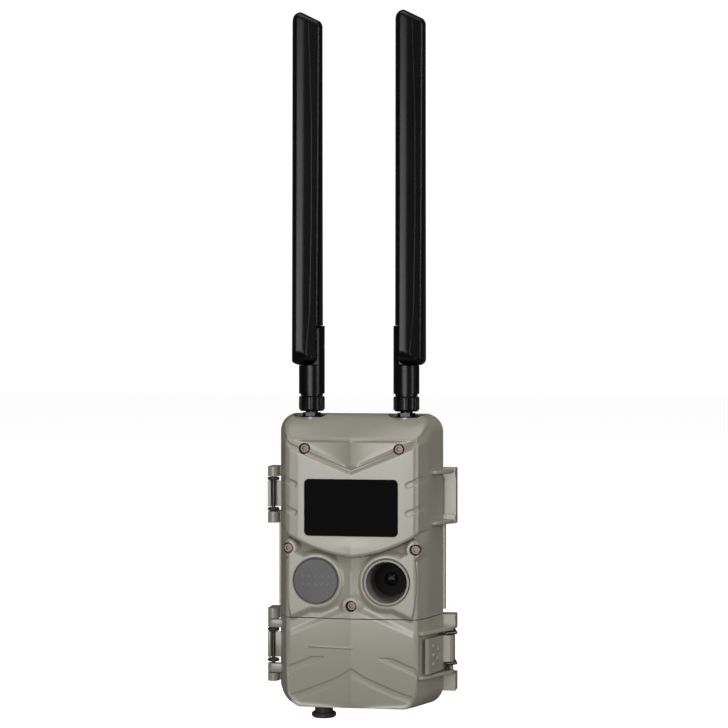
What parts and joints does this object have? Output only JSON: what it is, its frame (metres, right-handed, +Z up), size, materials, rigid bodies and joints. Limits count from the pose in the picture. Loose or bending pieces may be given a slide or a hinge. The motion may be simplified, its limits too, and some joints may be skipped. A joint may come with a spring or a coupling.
{
  "type": "trail camera",
  "caption": "Weatherproof trail camera with infrared window, motion sensor, recessed lens, hinged battery door, draw latch and folding paddle antennas.",
  "frame": {"origin": "mouth of the quarter-inch tripod insert in the back face", "axes": "+Z up, the lens looks along -Y, +Y leaves the tripod insert, +X is the latch side"},
  "size_m": [0.0964, 0.0735, 0.3538],
  "materials": {
    "body_plastic": "fine moulded texture",
    "black_plastic": "satin moulded",
    "dark_grey_plastic": "satin",
    "window_black": "polished infrared filter",
    "pir_film": "milky dark lens",
    "clear_glass": "coated lens",
    "rubber": "matt",
    "steel_wire": "black coated",
    "screw_metal": "passivated",
    "brass": "turned",
    "gold_metal": "plated",
    "steel": "plain",
    "black_metal": "blackened",
    "board_green": "solder mask",
    "led_clear": "clear epoxy",
    "cell_label": "plain sleeve",
    "display_glass": "liquid crystal cell",
    "button_rubber": "silicone",
    "card_blue": "plain"
  },
  "bodies": {
    "camera_body": {"rear_housing": "body_plastic", "front_housing": "body_plastic", "housing_gasket": "rubber", "door_gasket": "rubber", "ir_window": "window_black", "ir_led_board": "board_green", "ir_leds": "led_clear", "pir_lens": "pir_film", "pir_retainer": "black_plastic", "pir_sensor": "steel", "lens_tube": "dark_grey_plastic", "lens_bezel": "black_plastic", "lens_glass": "clear_glass", "lens_barrel": "black_plastic", "sensor_board": "board_green", "main_board": "board_green", "cell_modem": "steel", "housing_screws": "screw_metal", "antenna_jacks": "gold_metal", "jack_washers": "black_metal", "jack_nuts": "black_metal", "hinge_wires": "steel_wire", "hinge_rings": "rubber", "batteries": "cell_label", "battery_tray": "black_plastic", "battery_contacts": "gold_metal", "battery_springs": "steel", "control_panel": "dark_grey_plastic", "lcd_display": "display_glass", "card_slot": "steel", "power_jack": "black_plastic", "tripod_insert": "brass", "strap_brackets": "body_plastic"},
    "door": {"door": "body_plastic", "latch_pin": "steel"},
    "latch_lever": {"latch_lever": "body_plastic"},
    "latch_bail": {"latch_bail": "steel_wire"},
    "memory_card": {"memory_card": "card_blue"},
    "power_plug": {"power_plug": "rubber"},
    "menu_button": {"menu_button": "button_rubber"},
    "up_button": {"up_button": "button_rubber"},
    "ok_button": {"ok_button": "button_rubber"},
    "down_button": {"down_button": "button_rubber"},
    "antenna_nut_left": {"antenna_nut_left": "black_plastic"},
    "antenna_knuckle_left": {"antenna_knuckle_left": "black_plastic", "antenna_pin_left": "steel"},
    "antenna_blade_left": {"antenna_blade_left": "black_plastic"},
    "antenna_nut_right": {"antenna_nut_right": "black_plastic"},
    "antenna_knuckle_right": {"antenna_knuckle_right": "black_plastic", "antenna_pin_right": "steel"},
    "antenna_blade_right": {"antenna_blade_right": "black_plastic"}
  },
  "joints": [
    {"name": "door_hinge", "type": "hinge", "parent": "camera_body", "child": "door", "pos_m": [-0.0446, -0.035, -0.0465], "axis": [0, 0, -1], "range_deg": [0, 105]},
    {"name": "latch_lever_hinge", "type": "hinge", "parent": "door", "child": "latch_lever", "pos_m": [0.0436, -0.0361, -0.0485], "axis": [0, 0, 1], "range_deg": [0, 88]},
    {"name": "latch_bail_hinge", "type": "hinge", "parent": "latch_lever", "child": "latch_bail", "pos_m": [0.0436, -0.0397, -0.0485], "axis": [0, 0, 1], "range_deg": [-88, 0]},
    {"name": "memory_card_slide", "type": "slide", "parent": "camera_body", "child": "memory_card", "axis": [0, -1, 0], "range_m": [0, 0.0125]},
    {"name": "power_plug_pull", "type": "slide", "parent": "camera_body", "child": "power_plug", "axis": [0, 0, -1], "range_m": [0, 0.012]},
    {"name": "menu_button_press", "type": "slide", "parent": "camera_body", "child": "menu_button", "axis": [0, 1, 0], "range_m": [0, 0.0008], "stiffness_N_per_m": 300},
    {"name": "up_button_press", "type": "slide", "parent": "camera_body", "child": "up_button", "axis": [0, 1, 0], "range_m": [0, 0.0008], "stiffness_N_per_m": 300},
    {"name": "ok_button_press", "type": "slide", "parent": "camera_body", "child": "ok_button", "axis": [0, 1, 0], "range_m": [0, 0.0008], "stiffness_N_per_m": 300},
    {"name": "down_button_press", "type": "slide", "parent": "camera_body", "child": "down_button", "axis": [0, 1, 0], "range_m": [0, 0.0008], "stiffness_N_per_m": 300},
    {"name": "antenna_nut_left_spin", "type": "hinge", "parent": "camera_body", "child": "antenna_nut_left", "pos_m": [-0.02385, -0.0405, 0.0755], "axis": [0, 0, 1], "continuous": true},
    {"name": "antenna_left_swivel", "type": "hinge", "parent": "camera_body", "child": "antenna_knuckle_left", "pos_m": [-0.02385, -0.0405, 0.0865], "axis": [0, 0, -1], "continuous": true},
    {"name": "antenna_left_tilt", "type": "hinge", "parent": "antenna_knuckle_left", "child": "antenna_blade_left", "pos_m": [-0.02385, -0.0405, 0.1039], "axis": [1, 0, 0], "range_deg": [0, 90]},
    {"name": "antenna_nut_right_spin", "type": "hinge", "parent": "camera_body", "child": "antenna_nut_right", "pos_m": [0.02385, -0.0405, 0.0755], "axis": [0, 0, 1], "continuous": true},
    {"name": "antenna_right_swivel", "type": "hinge", "parent": "camera_body", "child": "antenna_knuckle_right", "pos_m": [0.02385, -0.0405, 0.0865], "axis": [0, 0, 1], "continuous": true},
    {"name": "antenna_right_tilt", "type": "hinge", "parent": "antenna_knuckle_right", "child": "antenna_blade_right", "pos_m": [0.02385, -0.0405, 0.1039], "axis": [1, 0, 0], "range_deg": [0, 90]}
  ],
  "couplings": [
    {"joint": "latch_bail_hinge", "follows": "latch_lever_hinge", "ratio": -1}
  ]
}
